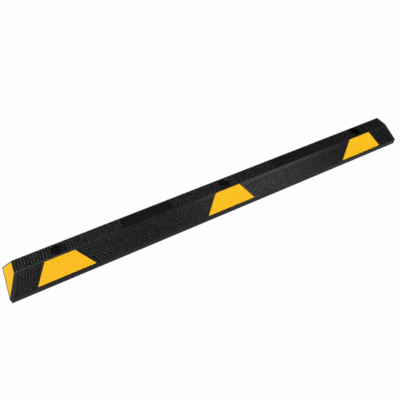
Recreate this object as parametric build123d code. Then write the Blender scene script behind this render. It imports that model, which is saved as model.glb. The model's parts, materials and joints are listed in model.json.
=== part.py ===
from build123d import *
import os
from math import atan2, hypot, tan

# Rubber wheel stop: a moulded rubber bar with yellow panels let into its slopes.
# Millimetres. X runs along the bar, Y across it, Z up. The origin is the middle of the underside.

# Outer form
length = 1828.8  # 72 x 6 x 4 inches
width = 152.4
height = 101.6
top_width = 55.0
toe_height = 24.0  # upright band round the foot
end_run = 52.0  # how far each end slope leans in
edge_radius = 3.0  # every outer edge but those on the ground

# Anchor holes, in a row along the top
anchor_names = ("left", "middle", "right")
anchor_pitch = 702.0
anchor_hole_diameter = 14.0
counterbore_diameter = 44.0
counterbore_depth = 60.0
counterbore_rim_radius = 1.5

# Steel washers, held by the rubber round their rims
washer_thickness = 3.0
washer_bite = 5.0  # how far a rim reaches under the rubber
washer_clearance = 0.1

# Yellow panels: trapezoids centred on the anchors on the sides, and one on each end
panel_foot_length = 220.0
panel_head_length = 112.0
panel_foot_margin = 5.0  # up the slope from the toe edge
panel_head_margin = 5.5  # down the slope from the ridge
end_panel_side_margin = 5.0
panel_corner_radius = 1.5
panel_thickness = 1.6
panel_sink = 0.6  # how far a panel's face lies under the rubber's
panel_clearance = 1.5

# Hollows in the underside, between solid bosses round the anchors
hollow_depth = 60.0
hollow_length = 115.0  # about this long, to fill each stretch evenly
hollow_side_wall = 26.0
hollow_end_wall = 30.0
hollow_end_draft = 4.0
hollow_corner_radius = 8.0
rib_thickness = 18.0
boss_wall = 15.0  # rubber round a washer

# Sizes that follow from those above
rise = height - toe_height
side_run = (width - top_width) / 2
side_slope = hypot(side_run, rise)
end_slope = hypot(end_run, rise)
top_length = length - 2 * end_run
recess_depth = panel_thickness + panel_sink
washer_diameter = counterbore_diameter + 2 * washer_bite
washer_top = height - counterbore_depth
washer_seat = washer_top - washer_thickness
boss_length = washer_diameter + 2 * washer_clearance + 2 * boss_wall
anchor_count = len(anchor_names)
anchor_places = [(i - (anchor_count - 1) / 2) * anchor_pitch for i in range(anchor_count)]
from_below = (Align.CENTER, Align.CENTER, Align.MIN)

# Planes of the four slopes: each origin is the middle of a toe edge, and y runs up the slope
front_slope = Plane((0, -width / 2, toe_height), x_dir=(1, 0, 0), z_dir=(0, -rise, side_run))
rear_slope = Plane((0, width / 2, toe_height), x_dir=(-1, 0, 0), z_dir=(0, rise, side_run))
left_slope = Plane((-length / 2, 0, toe_height), x_dir=(0, -1, 0), z_dir=(-rise, 0, end_run))
right_slope = Plane((length / 2, 0, toe_height), x_dir=(0, 1, 0), z_dir=(rise, 0, end_run))


def lean_at(z, run):
    """How far a slope with this run has leaned in at height z."""
    return run * max(z - toe_height, 0) / rise


def centred(size):
    return -size / 2, size / 2


def four_sided(foot, head, low, high):
    """A face with two level sides: the span foot at the height low, and the span head at the height high."""
    corners = [(foot[0], low), (foot[1], low), (head[1], high), (head[0], high)]
    return make_face(Polyline(*corners, close=True))


def tapered_block(foot_x, head_x, foot_y, head_y, low, high):
    """A block with flat leaning walls, from its spans along X and Y at its foot and at its head."""
    lengthways = extrude(Plane.XZ * four_sided(foot_x, head_x, low, high), width, both=True)
    crossways = extrude(Plane.YZ * four_sided(foot_y, head_y, low, high), length, both=True)
    return lengthways & crossways


def bar():
    """The outer form: an upright toe band, and four slopes that lean in to the flat top."""
    toe = extrude(Rectangle(length, width), toe_height)
    spans = [centred(size) for size in (length, top_length, width, top_width)]
    solid = toe + tapered_block(*spans, toe_height, height)
    ground_edges = solid.faces().sort_by(Axis.Z)[0].edges()
    return fillet(solid.edges() - ground_edges, edge_radius)


def panel_outline(foot, head, low, high):
    """A panel on a slope: foot and head are its lengths at low and high, measured up from the toe edge."""
    outline = four_sided(centred(foot), centred(head), low, high)
    return fillet(outline.vertices(), panel_corner_radius)


def side_outline():
    high = side_slope - panel_head_margin
    return panel_outline(panel_foot_length, panel_head_length, panel_foot_margin, high)


def end_outline():
    """The end panel keeps a set distance from the two hips."""
    low = panel_foot_margin
    high = end_slope - panel_head_margin
    narrowing = (width - top_width) / end_slope
    across = width - 2 * end_panel_side_margin
    return panel_outline(across - narrowing * low, across - narrowing * high, low, high)


def panel(slope, outline):
    """A flat panel on the floor of its recess."""
    return extrude(slope.offset(-recess_depth) * outline, panel_thickness)


def panel_recess(slope, outline):
    return extrude(slope * offset(outline, panel_clearance), recess_depth, both=True)


def anchor_hole():
    """A shank hole from the ground, the washer's groove above it, and a counterbore open at the top."""
    shank = Cylinder(anchor_hole_diameter / 2, height, align=from_below)
    groove_radius = washer_diameter / 2 + washer_clearance
    groove = Pos(0, 0, washer_seat) * Cylinder(groove_radius, washer_thickness, align=from_below)
    head = Pos(0, 0, washer_top) * Cylinder(counterbore_diameter / 2, counterbore_depth, align=from_below)
    return shank + groove + head


def washer():
    """A flat ring on the floor of the groove."""
    disc = Pos(0, 0, washer_seat) * Cylinder(washer_diameter / 2, washer_thickness, align=from_below)
    return disc - Cylinder(anchor_hole_diameter / 2, height, align=from_below)


def hollow(start, end, start_lean, end_lean):
    """A tapered pocket in the underside, from start to end along X, whose end walls lean in by the leans."""
    foot_width = width - 2 * hollow_side_wall
    head_width = foot_width - 2 * lean_at(hollow_depth, side_run)
    foot_x = start, end
    head_x = start + start_lean, end - end_lean
    pocket = tapered_block(foot_x, head_x, centred(foot_width), centred(head_width), 0, hollow_depth)
    level_edges = pocket.edges().filter_by(Plane.XY)
    return fillet(pocket.edges() - level_edges, hollow_corner_radius)


def hollows():
    """Pockets fill each stretch between two bosses, and between the outer bosses and the ends."""
    inner_end = length / 2 - hollow_end_wall
    outer_lean = hollow_end_draft + lean_at(hollow_depth, end_run)
    starts = [-inner_end] + [x + boss_length / 2 for x in anchor_places]
    ends = [x - boss_length / 2 for x in anchor_places] + [inner_end]
    leans = [outer_lean] + [hollow_end_draft] * anchor_count
    pockets = []
    for start, end, first_lean, last_lean in zip(starts, ends, leans, reversed(leans)):
        count = round((end - start + rib_thickness) / (hollow_length + rib_thickness))
        for i in range(count):
            step = (end - start + rib_thickness) / count
            low = start + i * step
            low_lean = first_lean if i == 0 else hollow_end_draft
            high_lean = last_lean if i == count - 1 else hollow_end_draft
            pockets.append(hollow(low, low + step - rib_thickness, low_lean, high_lean))
    return pockets


def rubber_body(recesses):
    """The bar with its panel recesses, anchor holes and hollows taken out."""
    holes = [Pos(x, 0, 0) * anchor_hole() for x in anchor_places]
    body = bar() - recesses - holes - hollows()
    flat_half = top_width / 2 - edge_radius * tan(atan2(rise, side_run) / 2)
    rim_radius = min(counterbore_rim_radius, (flat_half - counterbore_diameter / 2) / 2)
    rims = body.edges().filter_by(GeomType.CIRCLE).filter_by_position(Axis.Z, height, height)
    return fillet(rims, rim_radius)


def build():
    side = side_outline()
    end = end_outline()
    seats = {"left_end_panel": (left_slope, end), "right_end_panel": (right_slope, end)}
    nodes = {}
    for name, x in zip(anchor_names, anchor_places):
        seats[f"front_panel_{name}"] = (Pos(x, 0, 0) * front_slope, side)
        seats[f"rear_panel_{name}"] = (Pos(x, 0, 0) * rear_slope, side)
        nodes[f"{name}_anchor_washer"] = Pos(x, 0, 0) * washer()
    for name, (slope, outline) in seats.items():
        nodes[name] = panel(slope, outline)
    nodes["rubber_body"] = rubber_body([panel_recess(*seat) for seat in seats.values()])
    return nodes


os.makedirs("parts", exist_ok=True)
for name, solid in build().items():
    export_step(solid, f"parts/{name}.step")
    print(f"{name}: {solid.volume / 1e6:.4f} litres")
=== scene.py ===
import json
import math

import bpy
import numpy as np
from mathutils import Matrix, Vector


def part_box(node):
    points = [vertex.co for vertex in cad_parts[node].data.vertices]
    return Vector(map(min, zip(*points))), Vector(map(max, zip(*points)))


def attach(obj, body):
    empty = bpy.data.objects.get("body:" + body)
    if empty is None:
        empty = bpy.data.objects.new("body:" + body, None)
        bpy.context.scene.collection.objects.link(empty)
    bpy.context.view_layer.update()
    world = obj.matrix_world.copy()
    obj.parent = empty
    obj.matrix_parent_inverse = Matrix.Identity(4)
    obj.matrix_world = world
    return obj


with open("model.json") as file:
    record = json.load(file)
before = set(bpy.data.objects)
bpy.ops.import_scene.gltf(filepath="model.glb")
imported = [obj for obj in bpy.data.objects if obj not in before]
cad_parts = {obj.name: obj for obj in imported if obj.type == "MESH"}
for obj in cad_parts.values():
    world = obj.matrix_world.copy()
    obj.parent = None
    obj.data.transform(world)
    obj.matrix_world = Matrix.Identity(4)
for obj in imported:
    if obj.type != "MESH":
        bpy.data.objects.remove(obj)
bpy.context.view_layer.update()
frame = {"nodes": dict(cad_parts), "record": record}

scene = bpy.context.scene
cadNodes = frame["nodes"]
print("frame loaded:", len(cadNodes), "nodes")

# the moulding's planes in metres, as the CAD has them: X along, Y across, Z up
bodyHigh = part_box("rubber_body")[1]
mounts = {mount["name"]: mount for mount in frame["record"]["mounts"]}
anchorNames = ("left", "middle", "right")
bar = {
    "halfLength": bodyHigh[0],
    "halfWidth": bodyHigh[1],
    "height": bodyHigh[2],
    "halfTop": 0.0275,
    "toe": 0.024,
    "endRun": 0.052,
    "anchors": [mounts[name + "_counterbore"]["pos_m"][0] for name in anchorNames],
    "counterboreRadius": mounts["middle_counterbore"]["dims"]["r_mm"] / 1000,
}
rise = bar["height"] - bar["toe"]
sideRun = bar["halfWidth"] - bar["halfTop"]
sideSlope = math.hypot(sideRun, rise)
endSlope = math.hypot(bar["endRun"], rise)
anchorPitch = bar["anchors"][1] - bar["anchors"][0]

# a side panel's outline on its slope: half its length at its foot and at its head, and the rubber
# that is left below and above it
panelShape = {
    "footHalf": 0.11,
    "headHalf": 0.056,
    "footMargin": 0.005,
    "headMargin": 0.0055,
}
panelRise = sideSlope - panelShape["headMargin"] - panelShape["footMargin"]
panelNarrowing = (panelShape["footHalf"] - panelShape["headHalf"]) / panelRise
panelSlant = math.hypot(1.0, panelNarrowing)


# camera: where the photo was taken from, with its lens in millimetres and its angles in degrees
shot = {
    "place": (-0.613493, -0.966933, 1.333813),
    "lens": 36.291,
    "sensor": 36.0,
    "down": 50.372,
    "right": 26.656,
    "roll": -0.889,
    "shift": (0.0077, 0.0139),
}


def makeCamera():
    data = bpy.data.cameras.new("camera")
    data.sensor_width = shot["sensor"]
    data.lens = shot["lens"]
    data.shift_x, data.shift_y = shot["shift"]
    camera = bpy.data.objects.new("camera", data)
    # turned to the right, tipped down from level, then rolled about its own line of sight
    turn = Matrix.Rotation(math.radians(-shot["right"]), 3, "Z")
    tip = Matrix.Rotation(math.radians(90 - shot["down"]), 3, "X")
    roll = Matrix.Rotation(math.radians(shot["roll"]), 3, "Z")
    camera.rotation_euler = (turn @ tip @ roll).to_euler()
    camera.location = shot["place"]
    scene.collection.objects.link(camera)
    scene.camera = camera


makeCamera()
print("camera placed")


# short hands for shader trees
def plug(tree, socket, value):
    if isinstance(value, bpy.types.NodeSocket):
        tree.links.new(value, socket)
    else:
        socket.default_value = value


def put(tree, kind, values=None, **settings):
    node = tree.nodes.new("ShaderNode" + kind)
    for key, setting in settings.items():
        setattr(node, key, setting)
    for name, value in (values or {}).items():
        plug(tree, node.inputs[name], value)
    return node


def calc(tree, operation, *terms):
    return put(tree, "Math", dict(enumerate(terms)), operation=operation).outputs[0]


def ramp(tree, value, low, high, start=0.0, end=1.0):
    # smooth step from start at low to end at high
    values = {"Value": value, "From Min": low, "From Max": high, "To Min": start, "To Max": end}
    return put(tree, "MapRange", values, interpolation_type="SMOOTHSTEP").outputs["Result"]


# a Mix node's sockets have the same names for each kind of data, so they go by number:
# the two inputs and the output
mixSockets = {
    "RGBA": (6, 7, 2),
    "VECTOR": (4, 5, 1),
}


def blend(tree, kind, factor, first, second):
    firstInput, secondInput, result = mixSockets[kind]
    values = {"Factor": factor, firstInput: first, secondInput: second}
    return put(tree, "Mix", values, data_type=kind).outputs[result]


def mixColour(tree, factor, first, second):
    return blend(tree, "RGBA", factor, first, second)


def noise(tree, vector, scale, detail, roughness=0.5):
    values = {"Vector": vector, "Scale": scale, "Detail": detail, "Roughness": roughness}
    return put(tree, "TexNoise", values).outputs["Fac"]


def startGroup(name, inputs, outputs):
    tree = bpy.data.node_groups.new(name, "ShaderNodeTree")
    for label, kind in inputs.items():
        tree.interface.new_socket(label, in_out="INPUT", socket_type="NodeSocket" + kind)
    for label in outputs:
        tree.interface.new_socket(label, in_out="OUTPUT", socket_type="NodeSocketFloat")
    arriving = tree.nodes.new("NodeGroupInput").outputs
    leaving = tree.nodes.new("NodeGroupOutput").inputs
    return tree, arriving, leaving


def place(tree, group, values):
    return put(tree, "Group", values, node_tree=group).outputs


mouldGrain = {
    "mottleDetail": 4.0,
    "mottleSpan": (0.3, 0.7),
    "pebblesPerPatch": 10.0,
    "pebbleDetail": 2.0,
    "roughness": 0.6,
}


def makeGrainGroup():
    # soft mottling in patches of Size, and a finer pebbled height
    inputs = {"Vector": "Vector", "Size": "Float"}
    tree, arriving, leaving = startGroup("mouldGrain", inputs, ["Mottle", "Pebble"])
    broad = calc(tree, "DIVIDE", 1.0, arriving["Size"])
    fine = calc(tree, "MULTIPLY", broad, mouldGrain["pebblesPerPatch"])
    roughness = mouldGrain["roughness"]
    mottle = noise(tree, arriving["Vector"], broad, mouldGrain["mottleDetail"], roughness)
    pebble = noise(tree, arriving["Vector"], fine, mouldGrain["pebbleDetail"], roughness)
    plug(tree, leaving["Mottle"], ramp(tree, mottle, *mouldGrain["mottleSpan"]))
    plug(tree, leaving["Pebble"], pebble)
    return tree


settledDust = {
    "patchDetail": 3.0,
    "patchSpan": (0.35, 0.75),
    "specksPerPatch": 60.0,
    "speckDetail": 1.0,
    "speckSpan": (0.3, 0.75),
}


def makeDustGroup():
    # thin patches of dust: two sizes of noise multiplied, so patches have ragged edges
    inputs = {"Vector": "Vector", "Patch": "Float", "Amount": "Float"}
    tree, arriving, leaving = startGroup("settledDust", inputs, ["Mask"])
    broad = calc(tree, "DIVIDE", 1.0, arriving["Patch"])
    fine = calc(tree, "MULTIPLY", broad, settledDust["specksPerPatch"])
    patches = noise(tree, arriving["Vector"], broad, settledDust["patchDetail"])
    specks = noise(tree, arriving["Vector"], fine, settledDust["speckDetail"])
    patches = ramp(tree, patches, *settledDust["patchSpan"])
    specks = ramp(tree, specks, *settledDust["speckSpan"])
    mask = calc(tree, "MULTIPLY", patches, specks)
    plug(tree, leaving["Mask"], calc(tree, "MULTIPLY", mask, arriving["Amount"]))
    return tree


edgeScuff = {
    "blotchesPerMetre": 90.0,
    "blotchDetail": 4.0,
    "blotchSpan": (0.3, 0.65),
    "leastWear": 0.35,
}


def makeScuffGroup():
    # wear that fades out over Reach from an edge, broken up by noise
    inputs = {"Vector": "Vector", "Distance": "Float", "Reach": "Float"}
    tree, arriving, leaving = startGroup("edgeScuff", inputs, ["Mask"])
    share = calc(tree, "DIVIDE", arriving["Distance"], arriving["Reach"])
    near = ramp(tree, share, 0.0, 1.0, 1.0, 0.0)
    blotches = noise(tree, arriving["Vector"], edgeScuff["blotchesPerMetre"], edgeScuff["blotchDetail"])
    breakup = ramp(tree, blotches, *edgeScuff["blotchSpan"], edgeScuff["leastWear"], 1.0)
    plug(tree, leaving["Mask"], calc(tree, "MULTIPLY", near, breakup))
    return tree


barPlanes = {  # spans over which a region begins: distances from its borders
    "fieldFromToe": (0.0, 0.004),
    "fieldFromRidge": (0.012, 0.018),
    "fieldFromHip": (0.011, 0.016),
    "fieldFromPanel": (0.005, 0.01),
    "slopeFromEdge": (0.0, 0.002),
    "studFoot": (0.0001, 0.0005),  # heights above the slope
    "boreMouth": (0.0045, 0.0015),  # past a bore's wall: from the flat top into its rounded mouth
    "marginShare": 0.5,  # how much the margin counts away from the hips
}


def makePlanesGroup():
    # depths below the top, side slope and end slope planes: Edge is the distance to the nearest outer
    # edge, Lift is how far a point stands above the planes, which is more than nothing only on the studs,
    # Field is the floor between the studs of a long slope, Margin is the smooth border round that field,
    # and Bore is the inside of the anchor holes with their rounded mouths
    outputs = ["Edge", "Lift", "Field", "Margin", "Bore"]
    tree, arriving, leaving = startGroup("barPlanes", {"Vector": "Vector"}, outputs)
    point = put(tree, "SeparateXYZ", {"Vector": arriving["Vector"]}).outputs
    fromEnd = calc(tree, "SUBTRACT", bar["halfLength"], calc(tree, "ABSOLUTE", point["X"]))
    fromSide = calc(tree, "SUBTRACT", bar["halfWidth"], calc(tree, "ABSOLUTE", point["Y"]))
    aboveToe = calc(tree, "SUBTRACT", point["Z"], bar["toe"])
    top = calc(tree, "SUBTRACT", bar["height"], point["Z"])

    def slopeDepth(inward, run, slope):
        level = calc(tree, "MULTIPLY", inward, rise / slope)
        return calc(tree, "SUBTRACT", level, calc(tree, "MULTIPLY", aboveToe, run / slope))

    side = slopeDepth(fromSide, sideRun, sideSlope)
    end = slopeDepth(fromEnd, bar["endRun"], endSlope)
    # on a face one depth is nothing, so the second smallest tells how near the next face is
    low = calc(tree, "MINIMUM", top, side)
    high = calc(tree, "MAXIMUM", top, side)
    second = calc(tree, "MAXIMUM", low, calc(tree, "MINIMUM", high, end))
    plug(tree, leaving["Edge"], calc(tree, "MAXIMUM", second, 0.0))
    lift = calc(tree, "MULTIPLY", calc(tree, "MINIMUM", low, end), -1.0)
    plug(tree, leaving["Lift"], lift)

    # distances on the slope: up from the toe, down from the ridge and out from the nearest panel's end
    up = calc(tree, "MULTIPLY", aboveToe, sideSlope / rise)
    fromRidge = calc(tree, "SUBTRACT", sideSlope, up)
    fromAnchor = calc(tree, "PINGPONG", point["X"], anchorPitch / 2)
    halfAtToe = panelShape["footHalf"] + panelNarrowing * panelShape["footMargin"]
    panelHalf = calc(tree, "MULTIPLY_ADD", up, -panelNarrowing, halfAtToe)
    fromPanel = calc(tree, "DIVIDE", calc(tree, "SUBTRACT", fromAnchor, panelHalf), panelSlant)

    def within(*borders):
        # 1 where every distance is past its span
        mask = None
        for distance, span in borders:
            part = ramp(tree, distance, *span)
            mask = part if mask is None else calc(tree, "MULTIPLY", mask, part)
        return mask

    edge = barPlanes["slopeFromEdge"]
    slope = within((up, edge), (fromRidge, edge), (end, edge))
    field = within(
        (up, barPlanes["fieldFromToe"]),
        (fromRidge, barPlanes["fieldFromRidge"]),
        (end, barPlanes["fieldFromHip"]),
        (fromPanel, barPlanes["fieldFromPanel"]),
    )
    # the margin counts in full along the hips, and by a share elsewhere
    weight = ramp(tree, end, *barPlanes["fieldFromHip"], 1.0, barPlanes["marginShare"])
    plug(tree, leaving["Margin"], calc(tree, "MULTIPLY", calc(tree, "SUBTRACT", slope, field), weight))
    floor = ramp(tree, lift, *barPlanes["studFoot"], 1.0, 0.0)
    plug(tree, leaving["Field"], calc(tree, "MULTIPLY", field, floor))

    # distance from the nearest anchor's axis, less the bore's radius
    aside = calc(tree, "MULTIPLY", point["Y"], point["Y"])
    fromAxis = calc(tree, "SQRT", calc(tree, "MULTIPLY_ADD", fromAnchor, fromAnchor, aside))
    pastBore = calc(tree, "SUBTRACT", fromAxis, bar["counterboreRadius"])
    plug(tree, leaving["Bore"], ramp(tree, pastBore, *barPlanes["boreMouth"]))
    return tree


filmCells = {
    "cellsAway": 1000.0,  # whole cells added before wrapping, so that it meets no negative number
    "toneStep": 0.1,  # cell middles snap to this share of a cell, so that a cell has one tone
}


def makeHexGroup():
    # honeycomb: of the two offset grids of cell centres the nearer one counts; Rim is 0 at a cell's
    # middle and 1 at its border, Tone differs from cell to cell
    inputs = {"Vector": "Vector", "Cell": "Float"}
    tree, arriving, leaving = startGroup("filmCells", inputs, ["Rim", "Tone"])

    def vectorMath(operation, *terms, output="Vector"):
        return put(tree, "VectorMath", dict(enumerate(terms)), operation=operation).outputs[output]

    # in cells: a grid's step, half of it, and the normal of a cell's slanting side
    step = (1.0, math.sqrt(3), 1.0)
    half = (0.5, math.sqrt(3) / 2, 0.5)
    slantNormal = (0.5, math.sqrt(3) / 2, 0.0)
    flatten = (1.0, 1.0, 0.0)
    away = (filmCells["cellsAway"], filmCells["cellsAway"] * step[1], 0.0)
    scaled = put(tree, "CombineXYZ", {axis: arriving["Cell"] for axis in "XYZ"}).outputs[0]
    spot = vectorMath("DIVIDE", arriving["Vector"], scaled)
    flat = vectorMath("MULTIPLY", spot, flatten)
    shifted = vectorMath("SUBTRACT", flat, half)
    offsets = []
    for start in (flat, shifted):
        wrapped = vectorMath("MODULO", vectorMath("ADD", start, away), step)
        offset = vectorMath("SUBTRACT", wrapped, half)
        offsets.append(vectorMath("MULTIPLY", offset, flatten))
    sizes = [vectorMath("DOT_PRODUCT", offset, offset, output="Value") for offset in offsets]
    secondNearer = calc(tree, "LESS_THAN", sizes[1], sizes[0])
    local = blend(tree, "VECTOR", secondNearer, *offsets)
    folded = vectorMath("ABSOLUTE", local)
    slant = vectorMath("DOT_PRODUCT", folded, slantNormal, output="Value")
    level = put(tree, "SeparateXYZ", {"Vector": folded}).outputs["X"]
    rim = calc(tree, "MULTIPLY", calc(tree, "MAXIMUM", slant, level), 2.0)
    plug(tree, leaving["Rim"], rim)
    snap = filmCells["toneStep"]
    centre = vectorMath("SUBTRACT", flat, local)
    nudged = vectorMath("ADD", centre, (snap / 2, snap / 2, 0.0))
    snapped = vectorMath("SNAP", nudged, (snap, snap, snap))
    tone = put(tree, "TexWhiteNoise", {"Vector": snapped}, noise_dimensions="3D")
    plug(tree, leaving["Tone"], tone.outputs["Value"])
    return tree


grainGroup = makeGrainGroup()
dustGroup = makeDustGroup()
scuffGroup = makeScuffGroup()
planesGroup = makePlanesGroup()
hexGroup = makeHexGroup()
print("shader groups made")


# what every finish has
def startMaterial(name):
    material = bpy.data.materials.new(name)
    material.use_nodes = True
    material.node_tree.nodes.clear()
    return material, material.node_tree


def makeMaterial(name):
    material, tree = startMaterial(name)
    shader = put(tree, "BsdfPrincipled")
    plug(tree, put(tree, "OutputMaterial").inputs["Surface"], shader.outputs["BSDF"])
    return material, tree, shader.inputs


def weather(tree, spot, finish):
    # the grain and the dust, at the finish's own sizes
    grain = place(tree, grainGroup, {"Vector": spot, "Size": finish["grainSize"]})
    values = {"Vector": spot, "Patch": finish["dustPatch"], "Amount": finish["dustAmount"]}
    return grain, place(tree, dustGroup, values)


def emboss(tree, shader, height, depth, strength=1.0):
    values = {"Height": height, "Distance": depth, "Strength": strength}
    plug(tree, shader["Normal"], put(tree, "Bump", values).outputs["Normal"])


rubber = {
    "colour": (0.0036, 0.0036, 0.0037, 1.0),
    "bloom": (0.0052, 0.0052, 0.0053, 1.0),
    "shade": (0.001, 0.001, 0.001, 1.0),  # painted shade between the studs of the long slopes, and in the anchor holes
    # lighter colour of worn edges and stud heads; on the heads partly wear, partly a painted highlight
    "wornAndHighlight": (0.04, 0.04, 0.04, 1.0),
    "dust": (0.12, 0.115, 0.105, 1.0),
    "roughness": (0.26, 0.34),
    "specular": 0.5,
    "grainSize": 0.018,
    "grainDepth": 0.00006,
    "dustPatch": 0.2,
    "dustAmount": 0.03,
    "scuffReach": 0.004,
    "scuffAmount": 0.08,
    "scuffRoughness": 0.05,
    "boreRoughness": 0.25,  # the anchor holes are duller inside
    "crown": (0.0005, 0.0011),  # heights over which a stud's head gets worn and is painted lighter as a highlight
    "crownWearAndHighlight": 0.2,
    "polish": 1.0,  # the smooth margins of the long slopes shine more
    "polishRoughness": 0.3,
}


def makeRubber():
    material, tree, shader = makeMaterial("blackRubber")
    spot = put(tree, "TexCoord").outputs["Object"]
    grain, dust = weather(tree, spot, rubber)
    planes = place(tree, planesGroup, {"Vector": spot})
    edge = {"Vector": spot, "Distance": planes["Edge"], "Reach": rubber["scuffReach"]}
    scuff = place(tree, scuffGroup, edge)["Mask"]
    # stud heads are lighter: partly wear, partly a painted highlight
    crown = calc(tree, "MULTIPLY", ramp(tree, planes["Lift"], *rubber["crown"]), rubber["crownWearAndHighlight"])
    wearAndHighlight = calc(tree, "MAXIMUM", calc(tree, "MULTIPLY", scuff, rubber["scuffAmount"]), crown)
    # painted shade: darker between the studs of the long slopes and inside the anchor holes
    paintedShadeMask = calc(tree, "MAXIMUM", planes["Field"], planes["Bore"])
    tone = mixColour(tree, grain["Mottle"], rubber["colour"], rubber["bloom"])
    tone = mixColour(tree, paintedShadeMask, tone, rubber["shade"])
    # lighter on worn edges, and on stud heads, where it is partly a painted highlight
    tone = mixColour(tree, wearAndHighlight, tone, rubber["wornAndHighlight"])
    tone = mixColour(tree, dust["Mask"], tone, rubber["dust"])
    plug(tree, shader["Base Color"], tone)
    gloss = ramp(tree, grain["Mottle"], 0.0, 1.0, *rubber["roughness"])
    gloss = calc(tree, "MULTIPLY_ADD", scuff, rubber["scuffRoughness"], gloss)
    gloss = calc(tree, "MULTIPLY_ADD", planes["Bore"], rubber["boreRoughness"], gloss)
    plug(tree, shader["Roughness"], gloss)
    plug(tree, shader["Specular IOR Level"], rubber["specular"])
    plug(tree, shader["Coat Weight"], calc(tree, "MULTIPLY", planes["Margin"], rubber["polish"]))
    plug(tree, shader["Coat Roughness"], rubber["polishRoughness"])
    emboss(tree, shader, grain["Pebble"], rubber["grainDepth"])
    return material


film = {
    "colour": (0.94, 0.505, 0.011, 1.0),
    "pale": (0.97, 0.545, 0.014, 1.0),
    "rim": (0.91, 0.46, 0.009, 1.0),
    "dust": (0.55, 0.42, 0.2, 1.0),
    "roughness": (0.6, 0.7),
    "specular": 0.08,
    "cell": 0.0042,
    "rimStart": (0.86, 0.97),
    "rimHeight": 0.00005,
    "grainSize": 0.05,
    "mottleShare": 0.3,
    "dustPatch": 0.12,
    "dustAmount": 0.03,
}


def makeFilm(name, turn):
    # turn lays the panel's slope flat, so the cells run along it
    material, tree, shader = makeMaterial(name)
    spot = put(tree, "TexCoord").outputs["Object"]
    laid = put(tree, "Mapping", {"Vector": spot, "Rotation": turn}).outputs["Vector"]
    cells = place(tree, hexGroup, {"Vector": laid, "Cell": film["cell"]})
    grain, dust = weather(tree, spot, film)
    rim = ramp(tree, cells["Rim"], *film["rimStart"])
    mottle = calc(tree, "MULTIPLY", grain["Mottle"], film["mottleShare"])
    tone = mixColour(tree, cells["Tone"], film["colour"], film["pale"])
    tone = mixColour(tree, mottle, tone, film["rim"])
    tone = mixColour(tree, rim, tone, film["rim"])
    tone = mixColour(tree, dust["Mask"], tone, film["dust"])
    plug(tree, shader["Base Color"], tone)
    plug(tree, shader["Roughness"], ramp(tree, rim, 0.0, 1.0, *film["roughness"]))
    plug(tree, shader["Specular IOR Level"], film["specular"])
    emboss(tree, shader, rim, film["rimHeight"])
    return material


zinc = {
    "colour": (0.58, 0.59, 0.61, 1.0),
    "dull": (0.38, 0.38, 0.39, 1.0),
    "dust": (0.16, 0.15, 0.135, 1.0),
    "roughness": (0.3, 0.5),
    "metallic": (1.0, 0.3),  # clean, and under the dust
    "dustSpan": (0.0, 0.6),
    "grainSize": 0.012,
    "dustPatch": 0.03,
    "dustAmount": 0.5,
    "ringPitch": 0.0021932,
    "ringDistortion": 0.6,
    "ringDepth": 0.00003,
    "ringStrength": 0.6,
}
waveTurn = 20.0  # radians by which the Wave texture turns in one of its units


def makeZinc(name, x):
    # turned rings about the washer's own middle, clouded with zinc spangle and dust
    material, tree, shader = makeMaterial(name)
    spot = put(tree, "TexCoord").outputs["Object"]
    own = put(tree, "Mapping", {"Vector": spot, "Location": (-x, 0.0, 0.0)}).outputs["Vector"]
    grain, dust = weather(tree, own, zinc)
    scale = 2 * math.pi / (waveTurn * zinc["ringPitch"])
    values = {"Vector": own, "Scale": scale, "Distortion": zinc["ringDistortion"]}
    rings = put(tree, "TexWave", values, wave_type="RINGS", rings_direction="Z").outputs["Fac"]
    tone = mixColour(tree, grain["Mottle"], zinc["colour"], zinc["dull"])
    tone = mixColour(tree, dust["Mask"], tone, zinc["dust"])
    plug(tree, shader["Base Color"], tone)
    plug(tree, shader["Metallic"], ramp(tree, dust["Mask"], *zinc["dustSpan"], *zinc["metallic"]))
    plug(tree, shader["Roughness"], ramp(tree, grain["Mottle"], 0.0, 1.0, *zinc["roughness"]))
    emboss(tree, shader, rings, zinc["ringDepth"], zinc["ringStrength"])
    return material


def dress(node, material):
    data = cadNodes[node].data
    data.materials.clear()
    data.materials.append(material)


blackRubber = makeRubber()
dress("rubber_body", blackRubber)
sideAngle = math.atan2(rise, sideRun)
endAngle = math.atan2(rise, bar["endRun"])
frontFilm = makeFilm("frontFilm", (-sideAngle, 0.0, 0.0))
rearFilm = makeFilm("rearFilm", (sideAngle, 0.0, 0.0))
for name, x in zip(anchorNames, bar["anchors"]):
    dress("front_panel_" + name, frontFilm)
    dress("rear_panel_" + name, rearFilm)
    dress(name + "_anchor_washer", makeZinc(name + "Zinc", x))
dress("left_end_panel", makeFilm("leftEndFilm", (0.0, endAngle, 0.0)))
dress("right_end_panel", makeFilm("rightEndFilm", (0.0, -endAngle, 0.0)))
print("materials on the CAD nodes")


studs = {
    "sink": 0.0005,  # how deep a stud's foot lies in the rubber
    "rings": 5,
    "crownRing": 0.12,  # the last ring's angle, as a share of the foot's
    "sides": 10,
}


def studProfile(ball, height):
    # the cap of a ball of that radius, as rings at even angles from the foot, which is sunk
    # in the rubber, to near the crown
    footAngle = math.acos(1.0 - (height + studs["sink"]) / ball)
    angles = footAngle * np.linspace(1.0, studs["crownRing"], studs["rings"])
    return ball * np.sin(angles), height - ball * (1.0 - np.cos(angles))


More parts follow.
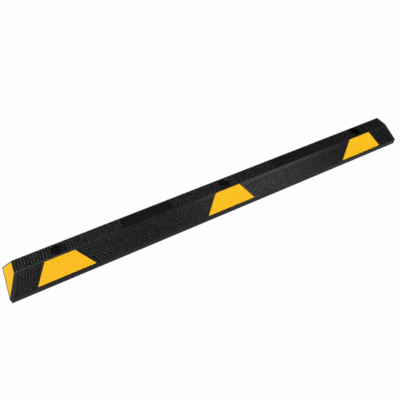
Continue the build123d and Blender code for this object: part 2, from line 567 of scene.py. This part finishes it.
def studField(name, profile, places, along, up):
    # each stud is its profile turned about the field's normal:
    # place + radius (cos a along + sin a up) + height normal
    along, up = np.array(along), np.array(up)
    normal = np.cross(along, up)
    radii, heights = profile
    sides, rings = studs["sides"], len(radii)
    turn = np.linspace(0, 2 * np.pi, sides, endpoint=False)
    circle = np.outer(np.cos(turn), along) + np.outer(np.sin(turn), up)
    one = radii[:, None, None] * circle + heights[:, None, None] * normal
    points = (places[:, None, None, :] + one).reshape(-1, 3)

    index = np.arange(rings * sides).reshape(rings, sides)
    ahead = np.roll(index, -1, axis=1)
    walls = np.stack([index[:-1], ahead[:-1], ahead[1:], index[1:]], axis=-1).reshape(-1, 4)
    starts = np.arange(len(places)) * rings * sides
    quads = (starts[:, None, None] + walls).reshape(-1, 4)
    heads = starts[:, None] + index[-1]
    feet = starts[:, None] + index[0][::-1]
    mesh = bpy.data.meshes.new(name)
    mesh.from_pydata(points.tolist(), [], quads.tolist() + heads.tolist() + feet.tolist())
    mesh.shade_smooth()
    mesh.materials.append(blackRubber)
    field = bpy.data.objects.new(name, mesh)
    scene.collection.objects.link(field)
    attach(field, "root")
    print(name, len(places), "studs")


topStuds = {
    "ball": 0.0066,
    "height": 0.0014,
    "stepX": 0.011,
    "stepY": 0.0108,
    "halfAcross": 0.0225,
    "fromEnd": 0.008,
    "fromHole": 0.006,
    "padHalf": 0.104,  # a smooth pad without studs, halfway between two anchors
}


def topPlaces():
    # staggered grid: every other column is moved half a step across
    reach = bar["halfLength"] - bar["endRun"] - topStuds["fromEnd"]
    lastColumn = math.ceil(reach / topStuds["stepX"])
    lastRow = math.ceil(topStuds["halfAcross"] / topStuds["stepY"])
    columns = np.arange(-lastColumn, lastColumn)
    rows = np.arange(-lastRow, lastRow + 1)
    column, row = (part.ravel() for part in np.meshgrid(columns, rows))
    x = (column + 0.5) * topStuds["stepX"]
    y = (row + 0.5 * (column % 2)) * topStuds["stepY"]
    keep = (abs(x) <= reach) & (abs(y) <= topStuds["halfAcross"])
    for anchor in bar["anchors"]:
        keep &= np.hypot(x - anchor, y) > bar["counterboreRadius"] + topStuds["fromHole"]
    for first, second in zip(bar["anchors"], bar["anchors"][1:]):
        keep &= abs(x - (first + second) / 2) > topStuds["padHalf"]
    return np.stack([x, y, np.full(len(x), bar["height"])], axis=-1)[keep]


topProfile = studProfile(topStuds["ball"], topStuds["height"])
studField("top_studs", topProfile, topPlaces(), (1.0, 0.0, 0.0), (0.0, 1.0, 0.0))

slopeStuds = {
    "ball": 0.0048,
    "height": 0.0014,
    "stepX": 0.011,
    "stepUp": 0.011,
    "firstRow": 0.0058,
    "rows": 7,
    "fromPanel": 0.012,
    "fromHip": 0.022,
}


def slopePlaces(side):
    # staggered grid on the slope, kept clear of the panels' slanting edges and of the hips
    lastColumn = math.ceil(bar["halfLength"] / slopeStuds["stepX"])
    columns = np.arange(-lastColumn, lastColumn + 1)
    rows = np.arange(slopeStuds["rows"])
    column, row = (part.ravel() for part in np.meshgrid(columns, rows))
    x = (column + 0.5 * (row % 2)) * slopeStuds["stepX"]
    up = slopeStuds["firstRow"] + row * slopeStuds["stepUp"]
    panelHalf = panelShape["footHalf"] - panelNarrowing * (up - panelShape["footMargin"])
    hip = bar["halfLength"] - bar["endRun"] * up / sideSlope
    keep = hip - abs(x) > slopeStuds["fromHip"]
    for anchor in bar["anchors"]:
        keep &= (abs(x - anchor) - panelHalf) / panelSlant > slopeStuds["fromPanel"]
    y = side * (bar["halfWidth"] - up * sideRun / sideSlope)
    z = bar["toe"] + up * rise / sideSlope
    return np.stack([x, y, z], axis=-1)[keep]


upFront = (0.0, sideRun / sideSlope, rise / sideSlope)
upRear = (0.0, -sideRun / sideSlope, rise / sideSlope)
slopeProfile = studProfile(slopeStuds["ball"], slopeStuds["height"])
studField("front_slope_studs", slopeProfile, slopePlaces(-1), (1.0, 0.0, 0.0), upFront)
studField("rear_slope_studs", slopeProfile, slopePlaces(1), (-1.0, 0.0, 0.0), upRear)


stage = {
    "floorSize": 14.0,
    "floorColour": (0.74, 0.74, 0.74, 1.0),
    "mirrorColour": (0.32, 0.32, 0.32, 1.0),
    "white": (1.0, 1.0, 1.0, 1.0),
    "whiteShare": 0.96,  # plain white for the camera; the rest takes the shadow
    "mirrorShare": 0.05,  # how much of the white mirror rays see
    "underEdge": 0.005,  # this far within the bar's outline the floor is no longer whitened
}


def whitened(tree, rays, share):
    # how white a ray sees the background: by the share for the camera and through glass, and
    # less in mirror rays
    straight = calc(tree, "MAXIMUM", rays["Is Camera Ray"], rays["Is Transmission Ray"])
    seen = calc(tree, "MULTIPLY", straight, share)
    mirrored = calc(tree, "MULTIPLY", rays["Is Glossy Ray"], stage["mirrorShare"])
    return calc(tree, "MAXIMUM", seen, mirrored)


def makeFloor():
    half = stage["floorSize"] / 2
    corners = [(-half, -half, 0.0), (half, -half, 0.0), (half, half, 0.0), (-half, half, 0.0)]
    mesh = bpy.data.meshes.new("floor")
    mesh.from_pydata(corners, [], [(0, 1, 2, 3)])
    floor = bpy.data.objects.new("floor", mesh)
    scene.collection.objects.link(floor)
    # white but for a share that takes the shadow, greyer in mirror rays, and not whitened
    # right under the bar
    material, tree = startMaterial("paleFloor")
    mesh.materials.append(material)
    rays = put(tree, "LightPath").outputs
    colour = mixColour(tree, rays["Is Glossy Ray"], stage["floorColour"], stage["mirrorColour"])
    matt = put(tree, "BsdfDiffuse", {"Color": colour}).outputs[0]
    white = put(tree, "Emission", {"Color": stage["white"], "Strength": 1.0}).outputs[0]
    spot = put(tree, "SeparateXYZ", {"Vector": put(tree, "TexCoord").outputs["Object"]}).outputs

    def underBar(axis, halfSize):
        return calc(tree, "LESS_THAN", calc(tree, "ABSOLUTE", spot[axis]), halfSize - stage["underEdge"])

    under = calc(tree, "MULTIPLY", underBar("X", bar["halfLength"]), underBar("Y", bar["halfWidth"]))
    share = ramp(tree, under, 0.0, 1.0, stage["whiteShare"], 0.0)
    surface = put(tree, "MixShader", {"Fac": whitened(tree, rays, share), 1: matt, 2: white}).outputs[0]
    plug(tree, put(tree, "OutputMaterial").inputs["Surface"], surface)


room = {  # levels of light at the right and at the left, and spans as parts of a direction of length 1
    "rearWall": (0.08, 0.23),
    "frontWall": (0.065, 0.42),
    "ceiling": (0.02, 0.06),
    "wallTop": (0.12, 0.45),
    "frontSpan": (0.3, -0.3),
    "leftSpan": (0.35, -0.35),
    "frontLeftSpan": (0.02, -0.2),
}


def makeRoom():
    # pale walls and a dim ceiling, with soft edges and darker to the right; the camera sees white
    world = bpy.data.worlds.new("softRoom")
    world.use_nodes = True
    tree = world.node_tree
    tree.nodes.clear()
    direction = put(tree, "SeparateXYZ", {"Vector": put(tree, "TexCoord").outputs["Generated"]}).outputs
    rear = ramp(tree, direction["X"], *room["leftSpan"], *room["rearWall"])
    front = ramp(tree, direction["X"], *room["frontLeftSpan"], *room["frontWall"])
    wall = ramp(tree, direction["Y"], *room["frontSpan"], rear, front)
    ceiling = ramp(tree, direction["X"], *room["leftSpan"], *room["ceiling"])
    level = ramp(tree, direction["Z"], *room["wallTop"], wall, ceiling)
    white = whitened(tree, put(tree, "LightPath").outputs, 1.0)
    strength = put(tree, "MapRange", {"Value": white, "To Min": level, "To Max": 1.0}).outputs["Result"]
    light = put(tree, "Background", {"Color": stage["white"], "Strength": strength}).outputs[0]
    plug(tree, put(tree, "OutputWorld").inputs["Surface"], light)
    scene.world = world


lamps = {
    "key": {  # high at the front left
        "kind": "SUN",
        "place": (-1.84, -1.77, 4.42),
        "aim": (0.0, 0.0, 0.0),
        "power": 3.25,
        "size": (0.6,),
        "lights": "matt",
    },
    "gleam": {  # the shine on the studs of the left two thirds
        "kind": "AREA",
        "place": (-0.64, -0.272, 0.76),
        "aim": (-0.28, 0.0, 0.1),
        "power": 5.9,
        "size": (1.1, 1.4),
        "spread": 42.0,
        "lights": "shine",
    },
    "sheen": {  # low at the front right, for the bright stretch of the long slope
        "kind": "AREA",
        "place": (1.51, -2.77, 0.54),
        "aim": (0.16, -0.05, 0.06),
        "power": 0.25,
        "size": (1.3, 0.9),
        "spread": 40.0,
        "lights": "both",
    },
    "rear": {  # low behind the bar
        "kind": "SUN",
        "place": (0.5, 3.9, 0.2),
        "aim": (0.0, 0.0, 0.0),
        "power": 0.9,
        "size": (0.35,),
        "lights": "matt",
    },
}


def makeLamps():
    # a sun's size is the angle it spans, an area lamp's its two sides, and its light keeps within
    # the spread in degrees; the two suns light only the matt colour, as they would glare on smooth faces
    for name, lamp in lamps.items():
        data = bpy.data.lights.new(name, lamp["kind"])
        data.energy = lamp["power"]
        if lamp["kind"] == "SUN":
            data.angle = lamp["size"][0]
        else:
            data.shape = "RECTANGLE"
            data.size, data.size_y = lamp["size"]
            data.spread = math.radians(lamp["spread"])
        light = bpy.data.objects.new(name, data)
        light.location = lamp["place"]
        light.visible_diffuse = lamp["lights"] != "shine"
        light.visible_glossy = lamp["lights"] != "matt"
        light.visible_camera = False
        away = np.array(lamp["aim"]) - np.array(lamp["place"])
        level = math.hypot(away[0], away[1])
        light.rotation_euler = (math.atan2(level, -away[2]), 0.0, math.atan2(-away[0], away[1]))
        scene.collection.objects.link(light)


makeFloor()
makeRoom()
makeLamps()
scene.view_settings.view_transform = "Standard"
print("floor, room and lamps made")
